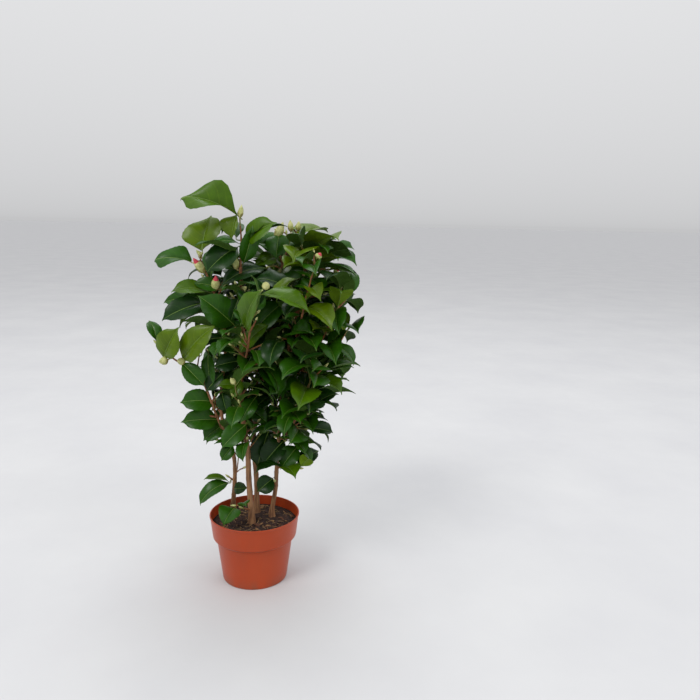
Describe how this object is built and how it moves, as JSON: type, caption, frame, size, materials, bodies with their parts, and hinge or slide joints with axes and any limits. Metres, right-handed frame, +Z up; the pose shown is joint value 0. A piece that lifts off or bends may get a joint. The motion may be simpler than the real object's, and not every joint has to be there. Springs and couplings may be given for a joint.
{
  "type": "potted camellia shrub",
  "caption": "Upright evergreen shrub with slender stems, arching glossy leaves and round flower buds, in a tapered plastic nursery pot filled with bark and peat.",
  "frame": {"origin": "middle of the pot's flat underside", "axes": "+Z up along the pot's axis, -Y toward the viewer of the picture, +X to that viewer's right"},
  "size_m": [0.3986, 0.3943, 0.7497],
  "materials": {
    "pot": "satin",
    "soil": "matte",
    "bark": "matte",
    "foliage": "satin"
  },
  "bodies": {
    "root": {"pot": "pot", "soil": "soil", "stem_main": "bark", "stem_rear": "bark", "stem_right": "bark", "stem_left": "bark", "bough_left_upper": "bark", "bough_left_arch": "bark", "bough_main_1": "bark", "bough_main_2": "bark", "bough_main_3": "bark", "bough_rear_1": "bark", "bough_rear_2": "bark", "bough_rear_3": "bark", "bough_rear_4": "bark", "bough_right_1": "bark", "bough_right_2": "bark", "bough_right_3": "bark", "bough_right_4": "bark", "leaves_main_tip": "foliage", "leaves_left_upper_tip": "foliage", "leaves_left_arch_tip": "foliage", "leaves_left_low": "foliage", "leaves_left_foot": "foliage", "leaves_main_foot": "foliage", "leaves_main_front": "foliage", "leaves_right_foot": "foliage", "leaves_right_low": "foliage", "leaves_main_1": "foliage", "leaves_main_2": "foliage", "leaves_main_3": "foliage", "leaves_main_4": "foliage", "leaves_rear_tip": "foliage", "leaves_rear_1": "foliage", "leaves_rear_2": "foliage", "leaves_rear_3": "foliage", "leaves_rear_4": "foliage", "leaves_rear_5": "foliage", "leaves_right_tip": "foliage", "leaves_right_1": "foliage", "leaves_right_2": "foliage", "leaves_right_3": "foliage", "leaves_right_4": "foliage", "leaves_left_upper_1": "foliage", "leaves_left_upper_2": "foliage", "leaves_left_arch_1": "foliage", "leaves_main_1_tip": "foliage", "leaves_main_2_tip": "foliage", "leaves_main_3_tip": "foliage", "leaves_rear_1_tip": "foliage", "leaves_rear_2_tip": "foliage", "leaves_rear_3_tip": "foliage", "leaves_rear_4_tip": "foliage", "leaves_right_1_tip": "foliage", "leaves_right_2_tip": "foliage", "leaves_right_3_tip": "foliage", "leaves_right_4_tip": "foliage"}
  },
  "joints": []
}
